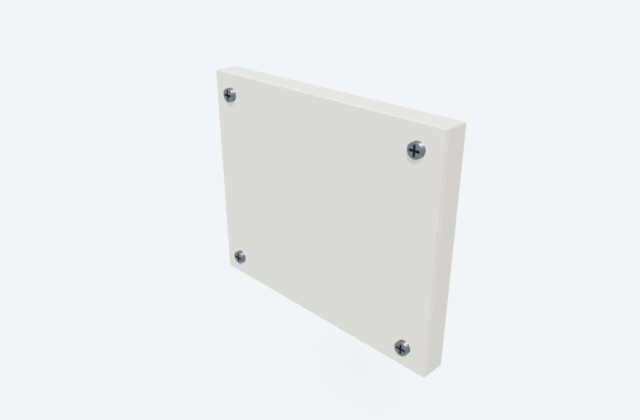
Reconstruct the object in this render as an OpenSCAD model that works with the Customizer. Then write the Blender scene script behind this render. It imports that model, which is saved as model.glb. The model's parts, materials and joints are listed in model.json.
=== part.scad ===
// Lid of a moulded instrument enclosure, with its seal and its four captive screws.
// Each piece is drawn as the lid lies on a bench: rim down on the plane z = 0, front face up.
// stand_up() then turns it upright: front towards -Y, rim in the plane y = 0,
// with the origin at the centre of the four screws.

/* [Lid] */
// Width of the lid, along X
lid_w = 110; // [80:1:200]
// Height of the lid, along Z
lid_h = 90; // [70:1:180]
// Depth of the lid, from its rim to its front face
lid_d = 10; // [8:0.5:16]
// Thickness of the front plate
plate_t = 2.5; // [1.5:0.1:3.5]
// Thickness of the outer skirt
skirt_t = 2.2; // [1.5:0.1:3]
// Height of the raised front panel over the step that runs round it
panel_d = 1.1; // [0.5:0.1:1.4]
// Width of that step
panel_step = 0.1; // [0.1:0.05:1]
// Radius of the outside edges of the raised panel
panel_edge_r = 0.2; // [0.05:0.05:0.4]
// Radius of the outside edges of the body
edge_r = 0.1; // [0.1:0.05:0.4]
// Radius of the four corners, seen from the front
corner_r = 0.4; // [0.3:0.1:3]

/* [Seal channel] */
// Width of the channel that takes the seal and the wall of the box
channel_w = 2.4; // [1.6:0.1:3.2]
// Thickness of the wall inside the channel
inner_wall_t = 1.4; // [1:0.1:2]
// How far that wall stops short of the rim
inner_wall_set = 2; // [1:0.1:3]
// Radius of the channel's centre line where it turns towards a screw
channel_turn_r = 3; // [2.4:0.1:3.5]
// Height of the seal on the channel's floor
seal_h = 2.4; // [1.8:0.1:3.5]
// Room between the seal and each side of the channel
seal_gap = 0.05; // [0.02:0.01:0.2]

/* [Screws] */
// Distance of the screws from the left and right edges
screw_inset_x = 9.5; // [9:0.1:16]
// Distance of the screws from the top and bottom edges
screw_inset_z = 8.4; // [8.3:0.1:16]
// Outer diameter of the thread
screw_d = 3; // [2.8:0.1:3.5]
// Length of the thread, all of which stands out of the rim
thread_len = 6; // [5:0.5:12]
// Diameter of the waisted shank between the head and the thread
neck_d = 2.3; // [1.8:0.1:2.5]
// Diameter of the screw's head
head_d = 5.5; // [5:0.1:8]
// Height of the screw's head
head_h = 2; // [1.6:0.1:3]
// Radius of the edge of the head
head_edge_r = 0.1; // [0.05:0.05:0.4]
// Chamfer at the tip of the screw
tip_chamfer = 0.5; // [0.2:0.1:0.8]
// Length of the cross recess from wing to wing, at the face of the head
cross_l = 4; // [3:0.1:4.4]
// Thickness of a wing of the cross recess
cross_t = 0.9; // [0.5:0.05:1]
// Depth of the cross recess
cross_deep = 1.3; // [0.8:0.1:1.4]
// Share of its length that a wing keeps at the foot of the recess
cross_taper = 0.5; // [0.3:0.05:0.8]

/* [Screw bosses] */
// Room round the thread in the hole through the front plate
screw_gap = 0.2; // [0.1:0.05:0.5]
// Outer diameter of the retaining ring on the waisted shank
ring_d = 5.6; // [5:0.1:6.4]
// Thickness of the retaining ring
ring_t = 1; // [0.6:0.1:1.6]
// Width of the slit that lets the ring open over the thread
ring_slit = 0.8; // [0.4:0.1:1.4]
// Room between the retaining ring and the waisted shank
ring_grip_gap = 0.03; // [0.02:0.01:0.1]
// Room round the retaining ring in its boss
ring_gap = 0.1; // [0.05:0.05:0.3]
// Wall of the boss
boss_wall = 1.3; // [1:0.1:1.6]
// Thickness of the webs that tie a boss to the skirt
web_t = 1.2; // [0.8:0.1:2]
// How far the webs stop short of the rim
web_set = 1; // [0.5:0.1:3]

/* [Stiffening ribs] */
// Thickness of the ribs behind the front plate
rib_t = 1.2; // [0.8:0.1:2]
// Height of the ribs
rib_h = 2; // [1:0.1:2.5]
// Largest distance between two ribs
rib_pitch = 27; // [15:1:60]

/* [Hidden] */
$fn = 64;
// How far a cut runs past the face that it opens
past = 1;
// Height of the inner face of the front plate over the rim
floor_z = lid_d - plate_t;
// Place of the screws in the quarter that x and y are positive
screw_x = lid_w / 2 - screw_inset_x;
screw_y = lid_h / 2 - screw_inset_z;
boss_bore_r = ring_d / 2 + ring_gap;
boss_r = boss_bore_r + boss_wall;
// Centre line of the seal channel: half its width and height, and its radius round a screw
line_x = lid_w / 2 - skirt_t - channel_w / 2;
line_y = lid_h / 2 - skirt_t - channel_w / 2;
line_boss_r = boss_r + channel_w / 2;
// Half the width and height of the core, the hollow inside the channel's inner wall
core_x = line_x - channel_w / 2 - inner_wall_t;
core_y = line_y - channel_w / 2 - inner_wall_t;
ribs_across = ceil(2 * core_x / rib_pitch) - 1;
ribs_along = ceil(2 * core_y / rib_pitch) - 1;
plastic_grey = [0.86, 0.855, 0.835];
steel_grey = [0.46, 0.49, 0.52];
seal_black = [0.12, 0.12, 0.13];
ring_white = [0.88, 0.87, 0.82];

// Turns a piece from the bench to upright, front towards -Y
module stand_up() {
    rotate([90, 0, 0]) children();
}

// Puts its children at the screw in the corner that side and end name with 1 or -1
module at_screw(side, end) {
    translate([side * screw_x, end * screw_y, 0]) children();
}

// Repeats its children, drawn for the quarter where x and y are positive, in all four
module four_quarters() {
    for (side = [0, 1], end = [0, 1])
        mirror([side, 0, 0]) mirror([0, end, 0]) children();
}

// Rectangle round the origin with rounded corners
module round_rect(w, h, r) {
    square([w - 2 * r, h], center = true);
    square([w, h - 2 * r], center = true);
    four_quarters() translate([w / 2 - r, h / 2 - r]) circle(r);
}

// Block from height low to high, with every outside edge rounded to the radius r
module soft_block(w, h, low, high, r) {
    mid = (low + high) / 2;
    intersection() {
        translate([0, 0, low]) linear_extrude(high - low) round_rect(w, h, corner_r);
        translate([0, h / 2, mid]) rotate([90, 0, 0]) linear_extrude(h) round_rect(w, high - low, r);
        translate([-w / 2, 0, mid]) rotate([90, 0, 90]) linear_extrude(w) round_rect(h, high - low, r);
    }
}

// Corner that the seal leaves to a screw, in the quarter where x and y are positive
module screw_corner(grow) {
    r = line_boss_r - grow;
    translate([screw_x, screw_y]) {
        circle(r);
        translate([-r, 0]) square([lid_w, lid_h]);
        translate([0, -r]) square([lid_w, lid_h]);
    }
}

// Area inside the channel's centre line, with its edge moved outwards by grow.
// It is the rectangle of the lid less the four screw corners, with its turns rounded.
module seal_outline(grow) {
    turn_r = max(channel_turn_r + grow, 0);
    top_turn = [screw_x - line_boss_r - channel_turn_r, line_y - channel_turn_r];
    side_turn = [line_x - channel_turn_r, screw_y - line_boss_r - channel_turn_r];
    difference() {
        square([2 * (line_x + grow), 2 * (line_y + grow)], center = true);
        four_quarters() {
            screw_corner(grow);
            for (turn = [top_turn, side_turn])
                translate(turn) difference() {
                    square(turn_r + past);
                    circle(turn_r);
                }
        }
    }
}

// Sweeps its child, a profile drawn with its foot at the origin, along the centre line
module along_seal() {
    x_in = screw_x - line_boss_r;
    y_in = screw_y - line_boss_r;
    turn = channel_turn_r;
    four_quarters() {
        seal_run([0, line_y], 0, x_in - turn) children();
        seal_bend([x_in - turn, line_y - turn], turn, 0) children();
        seal_run([x_in, line_y - turn], -90, line_y - turn - screw_y) children();
        seal_bend([screw_x, screw_y], line_boss_r, 180) children();
        seal_run([screw_x, y_in], 0, line_x - turn - screw_x) children();
        seal_bend([line_x - turn, y_in - turn], turn, 0) children();
        seal_run([line_x, y_in - turn], -90, y_in - turn) children();
    }
}

// One straight run of the seal, from a point in the direction of an angle
module seal_run(from, angle, length) {
    translate(from) rotate([0, 0, angle]) rotate([90, 0, 90]) linear_extrude(length) children();
}

// One quarter bend of the seal about a centre
module seal_bend(centre, r, start) {
    translate(centre) rotate([0, 0, start]) rotate_extrude(angle = 90) translate([r, 0]) children();
}

// Outside of the moulding: the body, and the raised panel that steps in from it
module outer_form() {
    soft_block(lid_w, lid_h, 0, lid_d - panel_d, edge_r);
    soft_block(lid_w - 2 * panel_step, lid_h - 2 * panel_step, floor_z / 2, lid_d, panel_edge_r);
}

// Ribs that cross the back of the front plate, both ways
module plate_ribs() {
    translate([0, 0, floor_z - rib_h]) linear_extrude(rib_h + past) {
        for (i = [1 : ribs_across])
            translate([-core_x + 2 * core_x * i / (ribs_across + 1), 0]) square([rib_t, lid_h], center = true);
        for (i = [1 : ribs_along])
            translate([0, -core_y + 2 * core_y * i / (ribs_along + 1)]) square([lid_w, rib_t], center = true);
    }
}

// Hollow behind the front plate, less its ribs
module core_hollow() {
    difference() {
        translate([0, 0, -past]) linear_extrude(floor_z + past)
            seal_outline(-channel_w / 2 - inner_wall_t);
        plate_ribs();
    }
}

// Channel for the seal, with the wall inside it set below the rim
module seal_channel() {
    translate([0, 0, -past]) {
        linear_extrude(floor_z + past) difference() {
            seal_outline(channel_w / 2);
            seal_outline(-channel_w / 2);
        }
        linear_extrude(inner_wall_set + past) seal_outline(channel_w / 2);
    }
}

// Hollows round the bosses, which keep the walls of the corner thin
module corner_pockets() {
    pocket_wall_t = inner_wall_t;
    difference() {
        translate([0, 0, -past]) linear_extrude(floor_z + past) difference() {
            square([lid_w - 2 * skirt_t, lid_h - 2 * skirt_t], center = true);
            seal_outline(channel_w / 2 + pocket_wall_t);
            four_quarters() translate([screw_x, screw_y]) circle(boss_r);
        }
        translate([0, 0, web_set]) linear_extrude(floor_z) four_quarters()
            translate([screw_x, screw_y]) {
                translate([0, -web_t / 2]) square([screw_inset_x, web_t]);
                translate([-web_t / 2, 0]) square([web_t, screw_inset_z]);
            }
    }
}

// Holes of one screw: through the front plate for the thread, and up its boss for the ring
module screw_holes() {
    translate([0, 0, -past]) {
        cylinder(h = lid_d + 2 * past, r = screw_d / 2 + screw_gap);
        cylinder(h = floor_z + past, r = boss_bore_r);
    }
}

// The lid itself, one moulding
module lid_moulding() {
    color(plastic_grey) stand_up() difference() {
        outer_form();
        core_hollow();
        seal_channel();
        corner_pockets();
        for (side = [-1, 1], end = [-1, 1]) at_screw(side, end) screw_holes();
    }
}

// Section of the seal: a flat foot and a round crown
module seal_profile() {
    half_w = channel_w / 2 - seal_gap;
    translate([-half_w, 0]) square([2 * half_w, seal_h - half_w]);
    translate([0, seal_h - half_w]) circle(half_w);
}

// The seal, with its foot on the floor of the channel and its crown towards the rim
module seal() {
    color(seal_black) stand_up() translate([0, 0, floor_z]) along_seal() mirror([0, 1]) seal_profile();
}

// Half of the screw's section: waisted shank, thread with a chamfered tip, and head
module screw_profile() {
    r = screw_d / 2;
    neck_r = neck_d / 2;
    head_r = head_d / 2;
    tip = -lid_d - thread_len;
    polygon([
        [0, tip], [r - tip_chamfer, tip], [r, tip + tip_chamfer], [r, -lid_d],
        [neck_r, -lid_d + r - neck_r], [neck_r, 0], [0, 0]
    ]);
    square([head_r, head_h - head_edge_r]);
    square([head_r - head_edge_r, head_h]);
    translate([head_r - head_edge_r, head_h - head_edge_r]) circle(head_edge_r);
}

// Cross recess: two crossed wings that narrow as they go down, and a tapered core
module cross_recess() {
    half_l = cross_l / 2;
    foot_l = half_l * cross_taper;
    // Wide enough at the face to break the corners between the wings
    core_top_r = cross_t * 0.75;
    for (turn = [0, 90])
        rotate([90, 0, turn]) linear_extrude(cross_t, center = true) polygon([
            [-half_l, past], [-half_l, 0], [-foot_l, -cross_deep],
            [foot_l, -cross_deep], [half_l, 0], [half_l, past]
        ]);
    translate([0, 0, -cross_deep]) cylinder(h = cross_deep, r1 = cross_t / 2, r2 = core_top_r);
}

// One screw, with its head seated on the front face
module screw(side, end) {
    color(steel_grey) stand_up() at_screw(side, end) translate([0, 0, lid_d]) difference() {
        rotate_extrude() screw_profile();
        translate([0, 0, head_h]) cross_recess();
    }
}

// One retaining ring, against the inner face of the front plate with its slit downwards
module retaining_ring(side, end) {
    color(ring_white) stand_up() at_screw(side, end) translate([0, 0, floor_z - ring_t])
        linear_extrude(ring_t) difference() {
            circle(ring_d / 2);
            circle(neck_d / 2 + ring_grip_gap);
            translate([-ring_slit / 2, -ring_d]) square([ring_slit, ring_d]);
        }
}

lid_moulding();
seal();
screw(-1, 1);  // screw_top_left
screw(1, 1);  // screw_top_right
screw(-1, -1);  // screw_bottom_left
screw(1, -1);  // screw_bottom_right
retaining_ring(-1, 1);  // retaining_ring_top_left
retaining_ring(1, 1);  // retaining_ring_top_right
retaining_ring(-1, -1);  // retaining_ring_bottom_left
retaining_ring(1, -1);  // retaining_ring_bottom_right
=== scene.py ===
"""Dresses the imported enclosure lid: moulded plastic, plated captive screws, swept seal and stage."""

import json
import math

import bpy
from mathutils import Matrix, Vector

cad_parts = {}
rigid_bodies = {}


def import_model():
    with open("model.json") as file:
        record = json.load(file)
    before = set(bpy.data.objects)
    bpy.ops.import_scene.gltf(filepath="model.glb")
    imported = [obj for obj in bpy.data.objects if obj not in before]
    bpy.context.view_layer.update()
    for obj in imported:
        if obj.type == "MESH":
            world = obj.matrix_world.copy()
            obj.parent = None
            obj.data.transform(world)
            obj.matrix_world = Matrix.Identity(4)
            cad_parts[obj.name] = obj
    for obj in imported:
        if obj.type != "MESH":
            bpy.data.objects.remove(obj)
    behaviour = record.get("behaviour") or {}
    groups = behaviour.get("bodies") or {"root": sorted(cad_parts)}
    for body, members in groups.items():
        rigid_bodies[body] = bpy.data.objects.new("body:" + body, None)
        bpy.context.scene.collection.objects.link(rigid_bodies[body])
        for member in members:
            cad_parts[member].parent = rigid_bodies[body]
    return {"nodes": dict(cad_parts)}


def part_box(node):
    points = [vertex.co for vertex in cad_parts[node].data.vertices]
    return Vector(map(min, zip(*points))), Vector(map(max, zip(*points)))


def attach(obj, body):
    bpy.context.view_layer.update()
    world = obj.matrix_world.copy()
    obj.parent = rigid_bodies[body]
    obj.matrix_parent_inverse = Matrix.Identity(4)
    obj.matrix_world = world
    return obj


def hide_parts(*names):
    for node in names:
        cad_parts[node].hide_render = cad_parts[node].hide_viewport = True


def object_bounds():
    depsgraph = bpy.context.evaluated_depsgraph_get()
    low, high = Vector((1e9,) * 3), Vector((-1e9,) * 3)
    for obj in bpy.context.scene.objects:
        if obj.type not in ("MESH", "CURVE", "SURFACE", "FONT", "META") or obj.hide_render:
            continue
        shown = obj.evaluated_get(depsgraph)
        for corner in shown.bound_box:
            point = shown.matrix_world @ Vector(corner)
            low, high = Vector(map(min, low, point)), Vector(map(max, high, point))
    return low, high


bl_info = {
    "name": "Enclosure Lid",
    "version": (1, 0, 0),
    "blender": (4, 5, 0),
    "location": "View3D > Sidebar > Enclosure Lid",
    "description": "Moulded instrument enclosure lid with a seal and captive cross-recessed screws",
    "category": "Object",
}

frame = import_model()
CAD_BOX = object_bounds()

MM = 0.001
SIDES = ("left", "right")
ENDS = ("top", "bottom")
CORNERS = [f"{end}_{side}" for end in ENDS for side in SIDES]

# Rows of one turn of thread, in pitches down from its start: two on the root, then two on the crest
THREAD_ROWS = (0.0, 0.25, 0.5625, 0.6875)
# Turns of thread beyond its length, which lie flat at its two ends
SPARE_TURNS = 3.0
# Share of the wings' length and of the core's width that is left at the foot of the cross recess
RECESS_TAPER = 0.5
# Facets of the recess's round core
CORE_FACETS = 32
# Faces belong to the recess within this share of its length from the axis of the screw,
# and between these two shares of the head's height
RECESS_REACH = 0.55
RECESS_LOW = 0.1
RECESS_HIGH = 0.99
# Share of its width that the seal's crown is rounded by, short of a half so that its arcs don't meet
CROWN_SHARE = 0.4995
# Points on each rounded corner of the seal's route and of its section
TURN_POINTS = 14
EDGE_POINTS = 10

# Directions of the lamps, seen from the lid
LAMP_DIRECTIONS = {
    "key": (0.465, -0.57, 0.678),
    "rim": (0.30, 0.62, 0.72),
    "front": (-0.17, -0.98, -0.04),
    "right": (0.99, 0.12, -0.01),
    "upper left": (-0.59, -0.45, 0.67),
    "upper back": (-0.39, 0.57, 0.73),
    "back": (0.08, 0.95, 0.29),
}
# Angles in degrees that the rim lamp and the even lamps with soft shadows fill
RIM_SIZE = 12
SOFT_SIZE = 30
# Width of the camera's sensor in millimetres
SENSOR = 36
# Half the width of the floor in metres, which reaches past all that the camera sees
FLOOR_HALF = 40.0


def from_screen(red, green, blue):
    """Linear colour of a screen colour whose channels run from 0 to 255."""
    channels = []
    for value in (red, green, blue):
        share = value / 255
        channels.append(share / 12.92 if share <= 0.04045 else ((share + 0.055) / 1.055) ** 2.4)
    return tuple(channels)


# Settings

class MouldingFinish(bpy.types.PropertyGroup):
    colour: bpy.props.FloatVectorProperty(
        name="Plastic", description="Colour of the lid's plastic",
        default=from_screen(219, 218, 213), size=3, subtype="COLOR", min=0, max=1)
    roughness: bpy.props.FloatProperty(
        name="Roughness", description="Roughness of the moulded surface",
        default=0.76, min=0, max=1, subtype="FACTOR")
    gloss: bpy.props.FloatProperty(
        name="Gloss", description="Strength of the sheen on the moulded surface",
        default=0.1, min=0, max=1, subtype="FACTOR")
    grain: bpy.props.FloatProperty(
        name="Grain", description="Size of the grains that the mould leaves",
        default=0.35 * MM, min=0.01 * MM, unit="LENGTH")
    grain_depth: bpy.props.FloatProperty(
        name="Grain depth", description="Depth of those grains",
        default=0.001 * MM, min=0, unit="LENGTH")
    flow: bpy.props.FloatProperty(
        name="Flow marks", description="Width of the faint clouds where the plastic flowed",
        default=24 * MM, min=1 * MM, unit="LENGTH")
    ring_colour: bpy.props.FloatVectorProperty(
        name="Ring nylon", description="Colour of the retaining rings",
        default=from_screen(240, 237, 226), size=3, subtype="COLOR", min=0, max=1)


class ScrewSizes(bpy.types.PropertyGroup):
    head_edge: bpy.props.FloatProperty(
        name="Head edge", description="Radius of the rounded edge of the head",
        default=0.1 * MM, min=0.01 * MM, unit="LENGTH")
    recess_length: bpy.props.FloatProperty(
        name="Recess length", description="Length of the cross recess from wing to wing",
        default=4 * MM, min=1 * MM, unit="LENGTH")
    recess_width: bpy.props.FloatProperty(
        name="Recess width", description="Thickness of a wing of the cross recess",
        default=0.9 * MM, min=0.2 * MM, unit="LENGTH")
    recess_depth: bpy.props.FloatProperty(
        name="Recess depth", description="Depth of the cross recess",
        default=1.3 * MM, min=0.1 * MM, unit="LENGTH")
    neck: bpy.props.FloatProperty(
        name="Waisted shank", description="Diameter of the shank between the head and the thread",
        default=2.3 * MM, min=1 * MM, unit="LENGTH")
    thread: bpy.props.FloatProperty(
        name="Thread", description="Outer diameter of the thread",
        default=3 * MM, min=1 * MM, unit="LENGTH")
    thread_core: bpy.props.FloatProperty(
        name="Thread core", description="Diameter at the root of the thread",
        default=2.39 * MM, min=1 * MM, unit="LENGTH")
    pitch: bpy.props.FloatProperty(
        name="Pitch", description="Distance from one turn of the thread to the next",
        default=0.5 * MM, min=0.1 * MM, unit="LENGTH")
    tip_chamfer: bpy.props.FloatProperty(
        name="Tip chamfer", description="Chamfer at the tip of the thread",
        default=0.5 * MM, min=0, unit="LENGTH")
    colour: bpy.props.FloatVectorProperty(
        name="Plating", description="Colour of the plated steel",
        default=from_screen(132, 139, 145), size=3, subtype="COLOR", min=0, max=1)
    # Painted shade: a near-black colour that stands for the shade deep in the cross recess
    recess_painted_shade: bpy.props.FloatVectorProperty(
        name="Recess", description="Colour deep in the cross recess",
        default=from_screen(36, 41, 44), size=3, subtype="COLOR", min=0, max=1)


class SealSizes(bpy.types.PropertyGroup):
    width: bpy.props.FloatProperty(
        name="Width", description="Width of the seal",
        default=2.3 * MM, min=0.5 * MM, unit="LENGTH")
    foot_edge: bpy.props.FloatProperty(
        name="Foot edge", description="Radius of the two edges of its flat foot",
        default=0.15 * MM, min=0, unit="LENGTH")
    outer_turn: bpy.props.FloatProperty(
        name="Outer turn", description="Radius of its centre line where it turns towards a screw",
        default=3 * MM, min=1 * MM, unit="LENGTH")
    screw_turn: bpy.props.FloatProperty(
        name="Screw turn", description="Radius of its centre line round a screw boss",
        default=5.4 * MM, min=1 * MM, unit="LENGTH")
    colour: bpy.props.FloatVectorProperty(
        name="Rubber", description="Colour of the rubber",
        default=from_screen(44, 44, 47), size=3, subtype="COLOR", min=0, max=1)


def light_from(side, amounts):
    """Setting for an even light from one side, as the amount in each colour channel."""
    return bpy.props.FloatVectorProperty(
        name=f"Light from the {side}",
        description=f"Even light without highlights, from the {side} of the lid",
        default=amounts, size=3, subtype="COLOR", min=0, soft_max=1)


class StageSettings(bpy.types.PropertyGroup):
    lens: bpy.props.FloatProperty(
        name="Lens", description="Focal length of the camera in millimetres",
        default=34.445, min=10)
    distance: bpy.props.FloatProperty(
        name="Distance", description="Distance from the camera to the middle of the lid",
        default=0.23125, min=0.05, unit="LENGTH")
    turn: bpy.props.FloatProperty(
        name="Turn", description="How far the camera stands to the right of the lid's front",
        default=math.radians(44.983), unit="ROTATION")
    rise: bpy.props.FloatProperty(
        name="Rise", description="How far the camera stands above the lid",
        default=math.radians(25.246), unit="ROTATION")
    aim: bpy.props.FloatVectorProperty(
        name="Aim", description="Where the camera aims, from the middle of the lid and its heads",
        default=(-0.16 * MM, 0, -0.06 * MM), size=3, subtype="TRANSLATION", unit="LENGTH")
    backdrop: bpy.props.FloatVectorProperty(
        name="Backdrop", description="Colour that the camera sees behind the lid",
        default=from_screen(242, 245, 248), size=3, subtype="COLOR", min=0, max=1)
    floor_drop: bpy.props.FloatProperty(
        name="Floor drop", description="Distance from the lid down to the floor",
        default=0.6, min=0.05, unit="LENGTH")
    floor_grey: bpy.props.FloatProperty(
        name="Floor grey", description="Share of the light that the floor gives back",
        default=0.15, min=0, max=1, subtype="FACTOR")
    ambient: bpy.props.FloatProperty(
        name="Ambient", description="Strength of the light from all round, which is weak in hollows",
        default=0.15, min=0)
    key: bpy.props.FloatProperty(
        name="Key", description="Amount of light from the key lamp, at the upper right of the front",
        default=0.335, min=0)
    key_size: bpy.props.FloatProperty(
        name="Key size", description="Angle in degrees that the key lamp fills, which softens its shadows",
        default=6, min=0)
    rim: bpy.props.FloatVectorProperty(
        name="Rim", description="Amounts of the lamp above and behind the lid, for highlights alone",
        default=(0.575, 0.535, 0.508), size=3, subtype="COLOR", min=0, soft_max=4)
    front: light_from("front", (0.416, 0.415, 0.414))
    right: light_from("right", (0.583, 0.570, 0.558))
    upper_left: light_from("upper left", (0.539, 0.539, 0.539))
    upper_back: light_from("upper back", (0.431, 0.428, 0.450))
    back: light_from("back", (0.262, 0.262, 0.262))


# Helpers for node trees and meshes

def place(tree, kind, values=None, **settings):
    """Adds a node. values maps a socket to what it holds, or to the output that feeds it."""
    node = tree.nodes.new(kind)
    for name, setting in settings.items():
        setattr(node, name, setting)
    for socket, value in (values or {}).items():
        if isinstance(value, bpy.types.NodeSocket):
            tree.links.new(value, node.inputs[socket])
        else:
            node.inputs[socket].default_value = value
    return node


def calc(tree, operation, *values):
    """Output of a Math node on one to three numbers or outputs."""
    kind = "ShaderNodeMath"
    return place(tree, kind, dict(enumerate(values)), operation=operation).outputs[0]


def blend(tree, factor, first, second):
    """first where the factor is 0 and second where it is 1. The Mix node holds them in sockets 2 and 3."""
    mixed = place(tree, "ShaderNodeMix", {0: factor, 2: first, 3: second}, data_type="FLOAT")
    return mixed.outputs[0]


def add_socket(tree, direction, name, kind, value=None):
    """Adds a named input or output to a node tree, with its default value."""
    socket = tree.interface.new_socket(name, in_out=direction, socket_type="NodeSocket" + kind)
    if value is not None:
        socket.default_value = value
    return socket


def new_shape_tree(name, inputs):
    """A Geometry Nodes tree with named inputs, what those inputs give, and its output node."""
    tree = bpy.data.node_groups.new(name, "GeometryNodeTree")
    add_socket(tree, "INPUT", "Geometry", "Geometry")
    for label, (kind, value) in inputs.items():
        add_socket(tree, "INPUT", label, kind, value)
    add_socket(tree, "OUTPUT", "Geometry", "Geometry")
    return tree, place(tree, "NodeGroupInput").outputs, place(tree, "NodeGroupOutput")


def line_mesh(name, points, closed=False):
    """A mesh of edges from point to point."""
    edges = [(i, i + 1) for i in range(len(points) - 1)]
    if closed:
        edges.append((len(points) - 1, 0))
    mesh = bpy.data.meshes.new(name)
    mesh.from_pydata(points, edges, [])
    return mesh


def shape_with_tree(name, mesh, tree, values, material):
    """Object with the mesh that the tree makes of another one. values are for its named inputs."""
    maker = bpy.data.objects.new(name + "_maker", mesh)
    bpy.context.scene.collection.objects.link(maker)
    modifier = maker.modifiers.new("Shape", "NODES")
    modifier.node_group = tree
    sockets = {item.name: item.identifier for item in tree.interface.items_tree if item.in_out == "INPUT"}
    for label, value in values.items():
        modifier[sockets[label]] = value
    modifier[sockets["Material"]] = material
    graph = bpy.context.evaluated_depsgraph_get()
    made = bpy.data.meshes.new_from_object(maker.evaluated_get(graph), depsgraph=graph)
    maker.modifiers.remove(modifier)
    bpy.data.objects.remove(maker)
    if not made.polygons:
        raise RuntimeError(f"the tree of {name} made no faces")
    made.name = name
    piece = bpy.data.objects.new(name, made)
    bpy.context.scene.collection.objects.link(piece)
    return piece


def shade_by_angle(piece, degrees):
    """Smooth shading, with edges over an angle kept sharp."""
    piece.data.shade_smooth()
    piece.data.set_sharp_from_angle(angle=math.radians(degrees))


def middle(box):
    """Centre of a box given by its lowest and highest corner."""
    return (box[0] + box[1]) / 2


# Shader groups and materials

def mould_grain_group():
    """Group that gives a moulded or rolled surface its fine grain and its faint clouds of shade."""
    name = "Mould Grain"
    if name in bpy.data.node_groups:
        return bpy.data.node_groups[name]
    group = bpy.data.node_groups.new(name, "ShaderNodeTree")
    add_socket(group, "INPUT", "Colour", "Color", (0.5, 0.5, 0.5, 1))
    add_socket(group, "INPUT", "Grains per metre", "Float", 2000)
    add_socket(group, "INPUT", "Clouds per metre", "Float", 40)
    add_socket(group, "INPUT", "Cloud shade", "Float", 0.01)
    add_socket(group, "OUTPUT", "Colour", "Color")
    add_socket(group, "OUTPUT", "Height", "Float")
    given = place(group, "NodeGroupInput").outputs
    place_in_row = place(group, "ShaderNodeTexCoord").outputs["Object"]
    grains = place(group, "ShaderNodeTexNoise", {
        "Vector": place_in_row, "Scale": given["Grains per metre"], "Detail": 2.0, "Roughness": 0.6})
    clouds = place(group, "ShaderNodeTexNoise", {
        "Vector": place_in_row, "Scale": given["Clouds per metre"], "Detail": 1.0})
    uneven = calc(group, "SUBTRACT", clouds.outputs["Fac"], 0.5)
    shade = calc(group, "MULTIPLY_ADD", uneven, given["Cloud shade"], 1.0)
    shaded = place(group, "ShaderNodeVectorMath", {0: given["Colour"], "Scale": shade}, operation="SCALE")
    place(group, "NodeGroupOutput", {
        "Colour": shaded.outputs["Vector"], "Height": grains.outputs["Fac"]})
    return group


def new_material(name, roughness, metallic=0.0):
    """A material with one Principled BSDF, whose even values are set on its own sockets."""
    material = bpy.data.materials.new(name)
    material.use_nodes = True
    shader = material.node_tree.nodes["Principled BSDF"]
    shader.inputs["Roughness"].default_value = roughness
    shader.inputs["Metallic"].default_value = metallic
    return material, material.node_tree, shader


def add_grain(tree, shader, colour, grain, cloud, cloud_shade, depth):
    """Puts the grain group between a colour and the shader, with its height as a fine bump."""
    surface = place(tree, "ShaderNodeGroup", node_tree=mould_grain_group())
    if isinstance(colour, bpy.types.NodeSocket):
        tree.links.new(colour, surface.inputs["Colour"])
    else:
        surface.inputs["Colour"].default_value = (*colour, 1)
    surface.inputs["Grains per metre"].default_value = 1 / grain
    surface.inputs["Clouds per metre"].default_value = 1 / cloud
    surface.inputs["Cloud shade"].default_value = cloud_shade
    bump = place(tree, "ShaderNodeBump", {
        "Height": surface.outputs["Height"], "Distance": depth, "Strength": 1.0})
    tree.links.new(surface.outputs["Colour"], shader.inputs["Base Color"])
    tree.links.new(bump.outputs["Normal"], shader.inputs["Normal"])


def lid_plastic(finish):
    """Matt light grey plastic with the fine grain of a spark-eroded mould."""
    material, tree, shader = new_material("Lid Plastic", finish.roughness)
    shader.inputs["Specular IOR Level"].default_value = finish.gloss
    add_grain(tree, shader, finish.colour, grain=finish.grain, cloud=finish.flow,
              cloud_shade=0.006, depth=finish.grain_depth)
    return material


def ring_nylon(finish):
    """Natural nylon, a little glossier than the lid."""
    material, tree, shader = new_material("Ring Nylon", roughness=0.42)
    add_grain(tree, shader, finish.ring_colour, grain=finish.grain, cloud=4 * MM,
              cloud_shade=0.04, depth=finish.grain_depth / 2)
    return material


def seal_rubber(sizes):
    """Black rubber with a dull, slightly dusty skin."""
    material, tree, shader = new_material("Seal Rubber", roughness=0.68)
    add_grain(tree, shader, sizes.colour, grain=0.25 * MM, cloud=9 * MM,
              cloud_shade=0.25, depth=0.004 * MM)
    return material


def screw_steel(sizes):
    """Dull plated steel, with painted shade that makes it nearly black inside the cross recess."""
    material, tree, shader = new_material("Screw Steel", roughness=0.5, metallic=1.0)
    # Painted shade: the faces of the recess take a near-black colour in place of the shade that falls deep
    # inside them
    recess = place(tree, "ShaderNodeAttribute", attribute_name="recess")
    # The Mix node holds its two colours in sockets 6 and 7
    plating_and_recess_shade = place(tree, "ShaderNodeMix", {
        "Factor": recess.outputs["Fac"], 6: (*sizes.colour, 1), 7: (*sizes.recess_painted_shade, 1)},
        data_type="RGBA")
    add_grain(tree, shader, plating_and_recess_shade.outputs[2], grain=0.12 * MM, cloud=1.5 * MM,
              cloud_shade=0.05, depth=0.0006 * MM)
    outside = calc(tree, "SUBTRACT", 1.0, recess.outputs["Fac"])
    tree.links.new(outside, shader.inputs["Metallic"])
    # Painted shade: the recess has no sheen, so that it stays as dark as the shade in so deep and narrow a
    # hole
    tree.links.new(calc(tree, "MULTIPLY", outside, 0.5), shader.inputs["Specular IOR Level"])
    return material


def dress(names, material):
    """Gives a material to CAD nodes in place of the plain one that they come with."""
    for name in names:
        node = frame["nodes"][name]
        if not node.material_slots:
            raise RuntimeError(f"{name} has no material slot")
        for slot in node.material_slots:
            slot.material = material


# Screws

def head_section(sizes, head_r, head_h):
    """Half of the head's section, from the middle of its face to where the neck starts."""
    steps = 6
    edge = sizes.head_edge
    points = [(0, 0, head_h)]
    for i in range(steps + 1):
        angle = math.pi / 2 * i / steps
        points.append((head_r - edge + edge * math.sin(angle), 0, head_h - edge + edge * math.cos(angle)))
    points.append((head_r, 0, 0))
    points.append((sizes.neck / 2, 0, 0))
    return points


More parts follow.
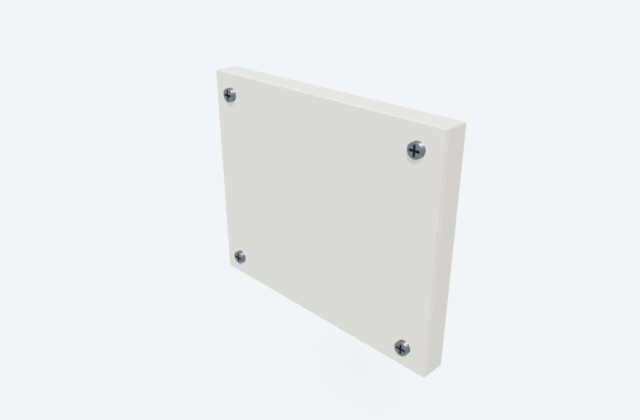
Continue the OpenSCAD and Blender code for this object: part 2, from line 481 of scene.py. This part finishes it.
def helix_height(tree, row, column, given):
    """Height of a point on the thread, which climbs one pitch in each turn, and its row in the turn."""
    rows = len(THREAD_ROWS)
    turn = calc(tree, "FLOOR", calc(tree, "DIVIDE", row, rows))
    step = calc(tree, "MODULO", row, rows)
    flank = place(tree, "GeometryNodeIndexSwitch", {"Index": step}, data_type="FLOAT")
    while len(flank.index_switch_items) < rows:
        flank.index_switch_items.new()
    for item, share in enumerate(THREAD_ROWS):
        flank.inputs[item + 1].default_value = share
    down = calc(tree, "ADD", turn, flank.outputs[0])
    turns = calc(tree, "SUBTRACT", calc(tree, "ADD", column, 1.0), down)
    free = calc(tree, "MULTIPLY_ADD", turns, given["Pitch"], given["Thread Top"])
    low = calc(tree, "MAXIMUM", free, given["Tip"])
    return calc(tree, "MINIMUM", low, given["Thread Top"]), step


def helix_radius(tree, height, step, given):
    """Radius there: root or crest, cut by the cone at the neck and by the chamfer at the tip."""
    crest = calc(tree, "GREATER_THAN", step, len(THREAD_ROWS) / 2 - 0.5)
    tall = calc(tree, "SUBTRACT", given["Thread Radius"], given["Core Radius"])
    cut = calc(tree, "MULTIPLY_ADD", crest, tall, given["Core Radius"])
    cone = calc(tree, "ADD", given["Neck Radius"], calc(tree, "SUBTRACT", given["Thread Top"], height))
    blunt = calc(tree, "SUBTRACT", given["Thread Radius"], given["Tip Chamfer"])
    chamfer = calc(tree, "ADD", blunt, calc(tree, "SUBTRACT", height, given["Tip"]))
    return calc(tree, "MINIMUM", cut, calc(tree, "MINIMUM", cone, chamfer))


def turned_body(tree, given):
    """The screw as one turned skin: the head's section, then the rows of the thread, then its tip."""
    section = given["Geometry"]
    size = place(tree, "GeometryNodeAttributeDomainSize", {"Geometry": section}).outputs["Point Count"]
    length = calc(tree, "SUBTRACT", given["Thread Top"], given["Tip"])
    pitches = calc(tree, "CEIL", calc(tree, "DIVIDE", length, given["Pitch"]))
    turns = calc(tree, "ADD", pitches, SPARE_TURNS)
    thread_rows = calc(tree, "MULTIPLY", turns, len(THREAD_ROWS))
    tip_row = calc(tree, "ADD", size, thread_rows)
    columns = calc(tree, "ADD", given["Facets"], 1.0)
    grid = place(tree, "GeometryNodeMeshGrid", {
        "Vertices X": calc(tree, "ADD", tip_row, 1.0), "Vertices Y": columns})
    index = place(tree, "GeometryNodeInputIndex").outputs[0]
    row = calc(tree, "FLOOR", calc(tree, "DIVIDE", calc(tree, "ADD", index, 0.5), columns))
    column = calc(tree, "SUBTRACT", index, calc(tree, "MULTIPLY", row, columns))
    share = calc(tree, "DIVIDE", column, given["Facets"])
    point = place(tree, "GeometryNodeInputPosition").outputs[0]
    sample = place(tree, "GeometryNodeSampleIndex", {
        "Geometry": section, "Value": point, "Index": row},
        data_type="FLOAT_VECTOR", domain="POINT", clamp=True)
    turned = place(tree, "ShaderNodeSeparateXYZ", {0: sample.outputs[0]}).outputs
    in_thread = calc(tree, "GREATER_THAN", row, calc(tree, "SUBTRACT", size, 0.5))
    height, step = helix_height(tree, calc(tree, "SUBTRACT", row, size), share, given)
    radius = helix_radius(tree, height, step, given)
    not_tip = calc(tree, "LESS_THAN", row, calc(tree, "SUBTRACT", tip_row, 0.5))
    r = blend(tree, in_thread, turned["X"], calc(tree, "MULTIPLY", radius, not_tip))
    z = blend(tree, in_thread, turned["Z"], height)
    angle = calc(tree, "MULTIPLY", share, math.tau)
    spot = place(tree, "ShaderNodeCombineXYZ", {
        "X": calc(tree, "MULTIPLY", r, calc(tree, "COSINE", angle)),
        "Y": calc(tree, "MULTIPLY", r, calc(tree, "SINE", angle)), "Z": z})
    bent = place(tree, "GeometryNodeSetPosition", {
        "Geometry": grid.outputs["Mesh"], "Position": spot.outputs[0]})
    return place(tree, "GeometryNodeMergeByDistance", {
        "Geometry": bent.outputs[0], "Distance": given["Weld"]}).outputs[0]


def recess_cutters(tree, given):
    """Two crossed wings that narrow downwards and a tapered core, with the head's face at z = 0."""
    deep = given["Recess Depth"]
    length = given["Recess Length"]
    width = given["Recess Width"]
    block = place(tree, "ShaderNodeCombineXYZ", {
        "X": length, "Y": width, "Z": calc(tree, "MULTIPLY", deep, 2.0)})
    cube = place(tree, "GeometryNodeMeshCube", {
        "Size": block.outputs[0], "Vertices X": 2, "Vertices Y": 2, "Vertices Z": 3})
    at = place(tree, "ShaderNodeSeparateXYZ", {
        0: place(tree, "GeometryNodeInputPosition").outputs[0]}).outputs
    under = calc(tree, "DIVIDE", calc(tree, "MINIMUM", at["Z"], 0.0), deep)
    narrow = calc(tree, "MULTIPLY_ADD", under, 1 - RECESS_TAPER, 1.0)
    spot = place(tree, "ShaderNodeCombineXYZ", {
        "X": calc(tree, "MULTIPLY", at["X"], narrow), "Y": at["Y"], "Z": at["Z"]})
    wing = place(tree, "GeometryNodeSetPosition", {
        "Geometry": cube.outputs["Mesh"], "Position": spot.outputs[0]}).outputs[0]
    across = place(tree, "GeometryNodeTransform", {
        "Geometry": wing, "Rotation": (0, 0, math.pi / 2)}).outputs[0]
    core = place(tree, "GeometryNodeMeshCone", {
        "Vertices": CORE_FACETS, "Radius Top": width,
        "Radius Bottom": calc(tree, "MULTIPLY", width, RECESS_TAPER),
        "Depth": calc(tree, "MULTIPLY", deep, 2.0)})
    down = place(tree, "ShaderNodeCombineXYZ", {"Z": calc(tree, "MULTIPLY", deep, -1.0)})
    core = place(tree, "GeometryNodeTransform", {
        "Geometry": core.outputs["Mesh"], "Translation": down.outputs[0]}).outputs[0]
    return wing, across, core


def with_recess(tree, body, given):
    """Cuts the cross recess into the head and marks its faces in the recess attribute."""
    lift = place(tree, "ShaderNodeCombineXYZ", {"Z": given["Head Height"]}).outputs[0]
    cut = place(tree, "GeometryNodeMeshBoolean", {"Mesh 1": body}, operation="DIFFERENCE", solver="EXACT")
    for cutter in recess_cutters(tree, given):
        raised = place(tree, "GeometryNodeTransform", {"Geometry": cutter, "Translation": lift})
        tree.links.new(raised.outputs[0], cut.inputs["Mesh 2"])
    # The wings and the core end at one depth, which leaves slivers where their edges meet
    welded = place(tree, "GeometryNodeMergeByDistance", {
        "Geometry": cut.outputs["Mesh"], "Distance": given["Weld"]}).outputs[0]
    at = place(tree, "ShaderNodeSeparateXYZ", {
        0: place(tree, "GeometryNodeInputPosition").outputs[0]}).outputs
    out = calc(tree, "SQRT", calc(tree, "ADD", calc(tree, "MULTIPLY", at["X"], at["X"]),
                                  calc(tree, "MULTIPLY", at["Y"], at["Y"])))
    # The faces of the recess, which the steel gives painted shade, lie near the axis, under the head's
    # face and over its seat
    near = calc(tree, "LESS_THAN", out, calc(tree, "MULTIPLY", given["Recess Length"], RECESS_REACH))
    share = calc(tree, "DIVIDE", at["Z"], given["Head Height"])
    under = calc(tree, "LESS_THAN", share, RECESS_HIGH)
    over = calc(tree, "GREATER_THAN", share, RECESS_LOW)
    inside = calc(tree, "MULTIPLY", near, calc(tree, "MULTIPLY", under, over))
    return place(tree, "GeometryNodeStoreNamedAttribute", {
        "Geometry": welded, "Name": "recess", "Value": inside},
        data_type="FLOAT", domain="FACE").outputs[0]


def screws_tree():
    """Tree that turns the head's section into a whole screw and sets one at each corner of the pattern."""
    tree, given, result = new_shape_tree("Captive Screws", {
        "Spacing X": ("Float", 91.0), "Spacing Z": ("Float", 73.2), "Seat": ("Float", -10.0),
        "Head Height": ("Float", 2.0), "Recess Length": ("Float", 4.0), "Recess Width": ("Float", 0.9),
        "Recess Depth": ("Float", 1.3), "Neck Radius": ("Float", 1.15), "Thread Radius": ("Float", 1.5),
        "Core Radius": ("Float", 1.2), "Thread Top": ("Float", -9.65), "Tip": ("Float", -16.0),
        "Tip Chamfer": ("Float", 0.5), "Pitch": ("Float", 0.5), "Facets": ("Int", 64),
        "Weld": ("Float", 0.0005), "Material": ("Material", None)})
    screw = with_recess(tree, turned_body(tree, given), given)
    corners = place(tree, "GeometryNodeMeshGrid", {
        "Size X": given["Spacing X"], "Size Y": given["Spacing Z"], "Vertices X": 2, "Vertices Y": 2})
    seated = place(tree, "GeometryNodeTransform", {
        "Geometry": corners.outputs["Mesh"],
        "Translation": place(tree, "ShaderNodeCombineXYZ", {
            "Z": calc(tree, "MULTIPLY", given["Seat"], -1.0)}).outputs[0]})
    copies = place(tree, "GeometryNodeInstanceOnPoints", {
        "Points": seated.outputs[0], "Instance": screw})
    upright = place(tree, "GeometryNodeTransform", {
        "Geometry": copies.outputs[0], "Rotation": (math.pi / 2, 0, 0), "Scale": (MM, MM, MM)})
    whole = place(tree, "GeometryNodeRealizeInstances", {"Geometry": upright.outputs[0]})
    finished = place(tree, "GeometryNodeSetMaterial", {
        "Geometry": whole.outputs[0], "Material": given["Material"]})
    tree.links.new(finished.outputs[0], result.inputs[0])
    return tree


def make_screws(sizes):
    """The four screws as one piece, from the places and sizes of the CAD screws."""
    boxes = {corner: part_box("screw_" + corner) for corner in CORNERS}
    low, high = boxes["top_right"]
    spacing = middle(boxes["top_right"]) - middle(boxes["bottom_left"])
    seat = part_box("lid_moulding")[0].y
    head_r = (high.x - low.x) / 2
    head_h = seat - low.y
    section = [tuple(value / MM for value in point) for point in head_section(sizes, head_r, head_h)]
    thread_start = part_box("lid_moulding")[1].y - (sizes.thread - sizes.neck) / 2
    return shape_with_tree("screws", line_mesh("screw_section", section), screws_tree(), {
        "Spacing X": spacing.x / MM, "Spacing Z": spacing.z / MM, "Seat": seat / MM,
        "Head Height": head_h / MM, "Recess Length": sizes.recess_length / MM,
        "Recess Width": sizes.recess_width / MM, "Recess Depth": sizes.recess_depth / MM,
        "Neck Radius": sizes.neck / 2 / MM, "Thread Radius": sizes.thread / 2 / MM,
        "Core Radius": sizes.thread_core / 2 / MM, "Thread Top": (seat - thread_start) / MM,
        "Tip": (seat - high.y) / MM, "Tip Chamfer": sizes.tip_chamfer / MM,
        "Pitch": sizes.pitch / MM}, screw_steel(sizes))


# Seal

def seal_route(sizes, line_x, line_y, screw_x, screw_y):
    """Corners of the seal's centre line and the radius that each is rounded to."""
    in_x = screw_x - sizes.screw_turn
    in_y = screw_y - sizes.screw_turn
    corner = [
        (in_x, line_y, sizes.outer_turn),
        (in_x, in_y, sizes.screw_turn),
        (line_x, in_y, sizes.outer_turn)]
    route = []
    for side, end in ((1, 1), (1, -1), (-1, -1), (-1, 1)):
        ordered = corner if side == end else reversed(corner)
        route += [(side * x, end * y, turn) for x, y, turn in ordered]
    return route


def seal_tree():
    """Tree that rounds the corners of a route and sweeps the seal's section along it."""
    tree, given, result = new_shape_tree("Swept Seal", {
        "Width": ("Float", 2.3), "Height": ("Float", 2.4), "Foot": ("Float", -7.5),
        "Foot Edge": ("Float", 0.15), "Material": ("Material", None)})
    route = place(tree, "GeometryNodeMeshToCurve", {"Mesh": given["Geometry"]})
    turn = place(tree, "GeometryNodeInputNamedAttribute", {"Name": "turn"}, data_type="FLOAT")
    rounded = place(tree, "GeometryNodeFilletCurve", {
        "Curve": route.outputs[0], "Count": TURN_POINTS, "Radius": turn.outputs[0],
        "Limit Radius": True}, mode="POLY")
    level = place(tree, "GeometryNodeSetCurveNormal", {"Curve": rounded.outputs[0]}, mode="Z_UP")
    outline = place(tree, "GeometryNodeCurvePrimitiveQuadrilateral", {
        "Width": given["Height"], "Height": given["Width"]})
    at = place(tree, "ShaderNodeSeparateXYZ", {
        0: place(tree, "GeometryNodeInputPosition").outputs[0]}).outputs
    crown_side = calc(tree, "GREATER_THAN", at["X"], 0.0)
    crown = calc(tree, "MULTIPLY", given["Width"], CROWN_SHARE)
    radius = blend(tree, crown_side, given["Foot Edge"], crown)
    soft = place(tree, "GeometryNodeFilletCurve", {
        "Curve": outline.outputs[0], "Count": EDGE_POINTS, "Radius": radius,
        "Limit Radius": True}, mode="POLY")
    swept = place(tree, "GeometryNodeCurveToMesh", {
        "Curve": level.outputs[0], "Profile Curve": soft.outputs[0]})
    seat = calc(tree, "MULTIPLY_ADD", given["Height"], 0.5, given["Foot"])
    upright = place(tree, "GeometryNodeTransform", {
        "Geometry": swept.outputs[0], "Rotation": (math.pi / 2, 0, 0),
        "Translation": place(tree, "ShaderNodeCombineXYZ", {"Y": seat}).outputs[0]})
    scaled = place(tree, "GeometryNodeTransform", {"Geometry": upright.outputs[0], "Scale": (MM, MM, MM)})
    whole = place(tree, "GeometryNodeRealizeInstances", {"Geometry": scaled.outputs[0]})
    finished = place(tree, "GeometryNodeSetMaterial", {
        "Geometry": whole.outputs[0], "Material": given["Material"]})
    tree.links.new(finished.outputs[0], result.inputs[0])
    return tree


def make_seal(sizes):
    """The seal as one swept piece, on the centre line of the lid's channel."""
    low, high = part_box("seal")
    screw = middle(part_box("screw_top_right"))
    route = seal_route(sizes, high.x - sizes.width / 2, high.z - sizes.width / 2, screw.x, screw.z)
    mesh = line_mesh("seal_route", [(x / MM, y / MM, 0) for x, y, turn in route], closed=True)
    turns = mesh.attributes.new("turn", "FLOAT", "POINT")
    turns.data.foreach_set("value", [turn / MM for x, y, turn in route])
    return shape_with_tree("seal_ring", mesh, seal_tree(), {
        "Width": sizes.width / MM, "Height": (high.y - low.y) / MM, "Foot": low.y / MM,
        "Foot Edge": sizes.foot_edge / MM}, seal_rubber(sizes))


# Stage

def lamp(name, amounts, degrees, shadow=True):
    """A sun of an amount in each colour channel, which fills an angle."""
    data = bpy.data.lights.new(name, "SUN")
    # A matt face square to a sun of strength pi renders in its own colour
    data.energy = math.pi
    data.color = amounts
    data.angle = math.radians(degrees)
    data.use_shadow = shadow
    # Otherwise rays that stray into the lid would take away from a shadowless lamp's highlight
    data.cycles.use_multiple_importance_sampling = shadow
    sun = bpy.data.objects.new(name, data)
    sun.rotation_euler = Vector(LAMP_DIRECTIONS[name]).to_track_quat("Z", "Y").to_euler()
    bpy.context.scene.collection.objects.link(sun)
    return sun


def even_lamp(name, amounts, shadow=False):
    """A sun without highlights, which gives faces turned to it an amount of light."""
    sun = lamp(name, amounts, SOFT_SIZE if shadow else 0, shadow)
    sun.visible_glossy = False


def set_rim(stage):
    """The lamp that draws a highlight on the walls of the screws' heads, and lights nothing else."""
    metal = bpy.data.collections.new("Metal")
    metal.objects.link(bpy.data.objects["screws"])
    rim = lamp("rim", stage.rim, RIM_SIZE, shadow=False)
    rim.visible_diffuse = False
    rim.light_linking.receiver_collection = metal


def set_lamps(stage):
    """All the lamps. Those behind the lid cast shadows, so that they light its hollows as they should."""
    key = lamp("key", (stage.key,) * 3, stage.key_size)
    key.visible_glossy = False
    set_rim(stage)
    even_lamp("front", stage.front)
    even_lamp("right", stage.right)
    even_lamp("upper left", stage.upper_left)
    even_lamp("upper back", stage.upper_back, shadow=True)
    even_lamp("back", stage.back, shadow=True)


def level_light(stage):
    """Light in each channel on a level surface that nothing shades."""
    total = Vector((stage.ambient,) * 3)
    for thing in bpy.context.scene.objects:
        if thing.type == "LIGHT" and thing.visible_diffuse:
            height = (thing.rotation_euler.to_matrix() @ Vector((0, 0, 1))).z
            total += Vector(thing.data.color) * max(height, 0)
    return total


def seen_directly(tree):
    """1 for rays that come from the camera, or by way of a mirror or a clear surface."""
    rays = place(tree, "ShaderNodeLightPath").outputs
    seen = calc(tree, "MAXIMUM", rays["Is Camera Ray"], rays["Is Glossy Ray"])
    return calc(tree, "MAXIMUM", seen, rays["Is Transmission Ray"])


def set_world(stage):
    """Even light from all round, with the backdrop's colour where it is seen."""
    world = bpy.data.worlds.new("Studio")
    bpy.context.scene.world = world
    world.use_nodes = True
    tree = world.node_tree
    tree.nodes.clear()
    even = place(tree, "ShaderNodeBackground", {"Color": (1, 1, 1, 1), "Strength": stage.ambient})
    plain = place(tree, "ShaderNodeBackground", {"Color": (*stage.backdrop, 1), "Strength": 1.0})
    mixed = place(tree, "ShaderNodeMixShader", {
        0: seen_directly(tree), 1: even.outputs[0], 2: plain.outputs[0]})
    place(tree, "ShaderNodeOutputWorld", {"Surface": mixed.outputs[0]})


def floor_material(stage):
    """Matt floor that looks as the backdrop does where no shadow falls on it."""
    material = bpy.data.materials.new("Floor")
    material.use_nodes = True
    tree = material.node_tree
    tree.nodes.clear()
    grey = stage.floor_grey
    matt = place(tree, "ShaderNodeBsdfDiffuse", {"Color": (grey, grey, grey, 1)})
    rest = [channel - grey * light for channel, light in zip(stage.backdrop, level_light(stage))]
    glow = place(tree, "ShaderNodeEmission", {"Color": (*rest, 1), "Strength": seen_directly(tree)})
    both = place(tree, "ShaderNodeAddShader", {0: matt.outputs[0], 1: glow.outputs[0]})
    place(tree, "ShaderNodeOutputMaterial", {"Surface": both.outputs[0]})
    return material


def set_floor(stage):
    """A plain floor, well below the lid as the picture shows none near it."""
    half = FLOOR_HALF
    level = CAD_BOX[0][2] - stage.floor_drop
    mesh = bpy.data.meshes.new("floor")
    mesh.from_pydata(
        [(-half, -half, level), (half, -half, level), (half, half, level), (-half, half, level)],
        [], [(0, 1, 2, 3)])
    mesh.materials.append(floor_material(stage))
    floor = bpy.data.objects.new("floor", mesh)
    bpy.context.scene.collection.objects.link(floor)


def set_camera(stage):
    """Camera at the right of the lid's front and above it."""
    lid_low, lid_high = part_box("lid_moulding")
    head_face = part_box("screw_top_left")[0].y
    aim = Vector((0, (head_face + lid_high.y) / 2, 0)) + stage.aim
    out = Vector((
        math.sin(stage.turn) * math.cos(stage.rise),
        -math.cos(stage.turn) * math.cos(stage.rise),
        math.sin(stage.rise)))
    data = bpy.data.cameras.new("camera")
    data.lens = stage.lens
    data.sensor_width = SENSOR
    data.clip_start = 0.005
    camera = bpy.data.objects.new("camera", data)
    camera.location = aim + out * stage.distance
    camera.rotation_euler = out.to_track_quat("Z", "Y").to_euler()
    bpy.context.scene.collection.objects.link(camera)
    bpy.context.scene.camera = camera


# Operators and panel

class LID_OT_camera(bpy.types.Operator):
    """Sets the camera at the picture's angle"""
    bl_idname = "enclosure_lid.camera"
    bl_label = "Set Camera"

    def execute(self, context):
        set_camera(context.scene.lid_stage)
        return {"FINISHED"}


class LID_OT_moulding(bpy.types.Operator):
    """Gives the lid moulding its plastic"""
    bl_idname = "enclosure_lid.moulding"
    bl_label = "Dress Moulding"

    def execute(self, context):
        dress(["lid_moulding"], lid_plastic(context.scene.lid_finish))
        return {"FINISHED"}


class LID_OT_rings(bpy.types.Operator):
    """Gives the retaining rings their nylon"""
    bl_idname = "enclosure_lid.rings"
    bl_label = "Dress Retaining Rings"

    def execute(self, context):
        dress(["retaining_ring_" + corner for corner in CORNERS], ring_nylon(context.scene.lid_finish))
        return {"FINISHED"}


class LID_OT_screws(bpy.types.Operator):
    """Makes the four captive screws with their recesses and threads"""
    bl_idname = "enclosure_lid.screws"
    bl_label = "Make Screws"

    def execute(self, context):
        screws = make_screws(context.scene.lid_screws)
        shade_by_angle(screws, degrees=32)
        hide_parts(*("screw_" + corner for corner in CORNERS))
        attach(screws, "root")
        return {"FINISHED"}


class LID_OT_seal(bpy.types.Operator):
    """Sweeps the seal round its channel"""
    bl_idname = "enclosure_lid.seal"
    bl_label = "Make Seal"

    def execute(self, context):
        seal = make_seal(context.scene.lid_seal)
        shade_by_angle(seal, degrees=40)
        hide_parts("seal")
        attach(seal, "root")
        return {"FINISHED"}


class LID_OT_stage(bpy.types.Operator):
    """Sets the floor, the backdrop and the lamps"""
    bl_idname = "enclosure_lid.stage"
    bl_label = "Set Stage"

    def execute(self, context):
        stage = context.scene.lid_stage
        context.scene.view_settings.view_transform = "Standard"
        set_lamps(stage)
        set_world(stage)
        set_floor(stage)
        return {"FINISHED"}


class LID_PT_panel(bpy.types.Panel):
    """Steps that dress the lid, with their settings"""
    bl_idname = "LID_PT_panel"
    bl_label = "Enclosure Lid"
    bl_space_type = "VIEW_3D"
    bl_region_type = "UI"
    bl_category = "Enclosure Lid"

    def draw(self, context):
        for settings, steps in PANEL_ROWS:
            box = self.layout.box()
            for step in steps:
                box.operator(step.bl_idname)
            group = getattr(context.scene, settings)
            for name in group.__annotations__:
                box.prop(group, name)


PANEL_ROWS = (
    ("lid_finish", (LID_OT_moulding, LID_OT_rings)),
    ("lid_screws", (LID_OT_screws,)),
    ("lid_seal", (LID_OT_seal,)),
    ("lid_stage", (LID_OT_camera, LID_OT_stage)),
)
SETTINGS = {
    "lid_finish": MouldingFinish,
    "lid_screws": ScrewSizes,
    "lid_seal": SealSizes,
    "lid_stage": StageSettings,
}
OPERATORS = (LID_OT_camera, LID_OT_moulding, LID_OT_rings, LID_OT_screws, LID_OT_seal, LID_OT_stage)


def register():
    """Makes the settings, the operators and the panel known to Blender."""
    for kind in (*SETTINGS.values(), *OPERATORS, LID_PT_panel):
        bpy.utils.register_class(kind)
    for name, kind in SETTINGS.items():
        setattr(bpy.types.Scene, name, bpy.props.PointerProperty(type=kind))


def unregister():
    """Takes them away again."""
    for name in SETTINGS:
        delattr(bpy.types.Scene, name)
    for kind in reversed((*SETTINGS.values(), *OPERATORS, LID_PT_panel)):
        bpy.utils.unregister_class(kind)


def main():
    """Dresses the lid and sets its stage, step by step."""
    register()
    steps = bpy.ops.enclosure_lid
    steps.camera()
    steps.moulding()
    steps.rings()
    steps.screws()
    steps.seal()
    steps.stage()


if __name__ == "__main__":
    main()
